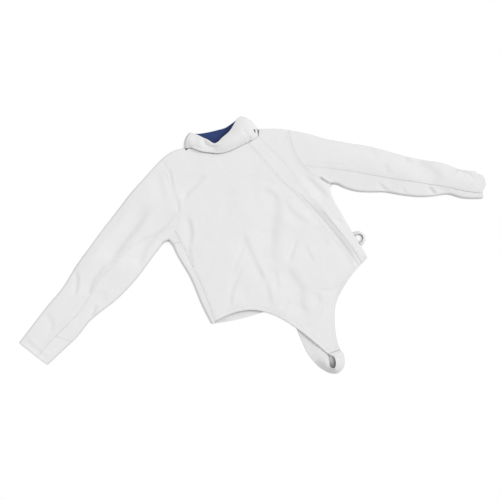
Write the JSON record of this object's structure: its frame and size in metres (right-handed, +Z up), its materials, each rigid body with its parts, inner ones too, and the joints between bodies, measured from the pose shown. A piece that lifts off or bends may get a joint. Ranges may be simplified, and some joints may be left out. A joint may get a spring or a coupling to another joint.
{
  "type": "fencing jacket",
  "caption": "White fencing jacket lying flat with sleeves spread, a slanting zip front, stand-up collar, hip loop and a crotch strap below its pointed front.",
  "frame": {"origin": "middle of the jacket's bounding box, on the surface that it lies on", "axes": "+Z up off the surface, +Y towards the collar, +X towards the wearer's left sleeve, which is on the right in a view from above"},
  "size_m": [1.438, 0.8086, 0.0382],
  "materials": {
    "white_cloth": "white woven cotton, matt",
    "collar_blue": "dark blue soft lining, matt",
    "elastic": "white ribbed elastic, matt",
    "white_tape": "white woven tape, matt",
    "dark_metal": "dark, satin"
  },
  "bodies": {
    "root": {"front_right": "white_cloth", "front_left": "white_cloth", "zip_placket": "white_cloth", "back": "white_cloth", "side_panel": "white_cloth", "underarm_gusset": "white_cloth", "sleeve_right_upper": "white_cloth", "sleeve_right_under": "white_cloth", "sleeve_right_cuff": "white_cloth", "sleeve_left_upper": "white_cloth", "sleeve_left_under": "white_cloth", "collar": "white_cloth", "collar_lining": "collar_blue", "collar_hook": "dark_metal", "crotch_strap": "elastic", "hip_loop": "white_tape"}
  },
  "joints": []
}
